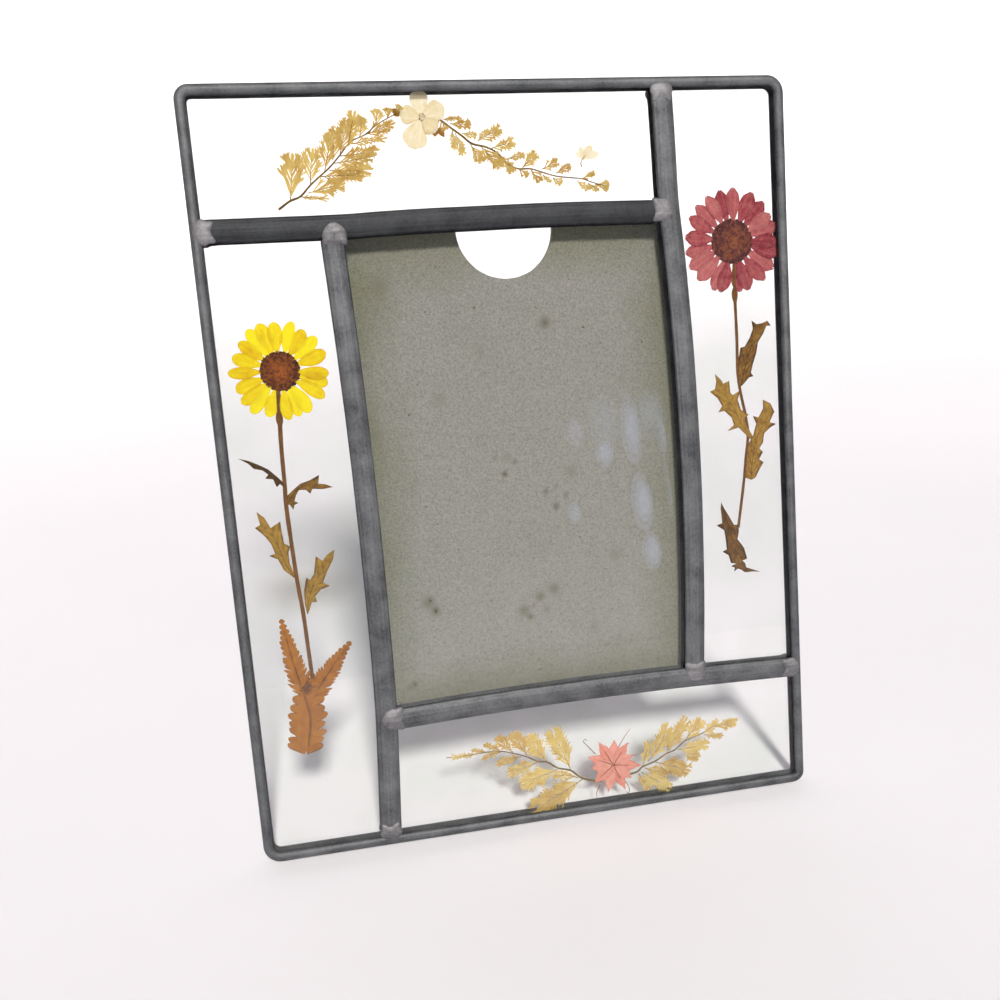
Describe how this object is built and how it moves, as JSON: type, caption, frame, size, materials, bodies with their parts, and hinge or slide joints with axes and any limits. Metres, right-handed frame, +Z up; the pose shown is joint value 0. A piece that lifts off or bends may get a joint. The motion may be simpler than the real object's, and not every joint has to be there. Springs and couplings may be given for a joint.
{
  "type": "pressed flower frame",
  "caption": "Leaning leaded-glass picture frame whose border panels hold pressed flowers, with a slide-in backing board and a folding wire stand.",
  "frame": {"origin": "centre of the bounding box's bottom, on the surface the frame stands on", "axes": "+X to the viewer's right, +Y to the back, +Z up; the front faces -Y and leans back 15 degrees"},
  "size_m": [0.154, 0.0666, 0.1905],
  "materials": {
    "lead": "dull dark grey drawn lead came",
    "solder": "mottled grey tin-lead solder",
    "glass": "clear polished float glass",
    "board": "aged greyboard with stains",
    "steel": "tinned steel",
    "yellow_petal": "dried petal",
    "red_petal": "dried petal",
    "cream_petal": "dried petal",
    "pink_petal": "dried petal",
    "disc": "dried disc florets",
    "stem": "dried stem",
    "leaf": "dried leaf",
    "fern": "dried fern",
    "rust_fern": "dried fern"
  },
  "bodies": {
    "frame": {"back_strap": "steel", "backing_board": "board", "bottom_bar": "lead", "bottom_fern_left": "fern", "bottom_fern_right": "fern", "bottom_glass_back": "glass", "bottom_glass_front": "glass", "bottom_pink_flower": "pink_petal", "bottom_rail": "steel", "edge_came": "lead", "left_bar": "lead", "left_glass_back": "glass", "left_glass_front": "glass", "left_hinge_tube": "steel", "left_rail": "steel", "picture_glass": "glass", "red_flower_disc": "disc", "red_leaf_1": "leaf", "red_leaf_2": "leaf", "red_leaf_3": "leaf", "red_leaf_4": "leaf", "red_petals": "red_petal", "red_stem": "stem", "right_bar": "lead", "right_glass_back": "glass", "right_glass_front": "glass", "right_hinge_tube": "steel", "right_rail": "steel", "solder_bottom_edge_back": "solder", "solder_bottom_edge_front": "solder", "solder_bottom_left_back": "solder", "solder_bottom_left_front": "solder", "solder_bottom_right_back": "solder", "solder_bottom_right_front": "solder", "solder_left_edge_back": "solder", "solder_left_edge_front": "solder", "solder_right_edge_back": "solder", "solder_right_edge_front": "solder", "solder_top_edge_back": "solder", "solder_top_edge_front": "solder", "solder_top_left_back": "solder", "solder_top_left_front": "solder", "solder_top_right_back": "solder", "solder_top_right_front": "solder", "top_bar": "lead", "top_cream_flower": "cream_petal", "top_fern_left": "fern", "top_fern_right": "fern", "top_floret": "cream_petal", "top_glass_back": "glass", "top_glass_front": "glass", "yellow_flower_disc": "disc", "yellow_leaf_1": "leaf", "yellow_leaf_2": "leaf", "yellow_leaf_3": "leaf", "yellow_leaf_4": "leaf", "yellow_petals": "yellow_petal", "yellow_rust_fern": "rust_fern", "yellow_stem": "stem"},
    "stand": {"wire_stand": "steel"}
  },
  "joints": [
    {"name": "stand_hinge", "type": "hinge", "parent": "frame", "child": "stand", "pos_m": [0, 0.0162, 0.13105], "axis": [1, 0, 0], "range_deg": [-22, 0]}
  ]
}
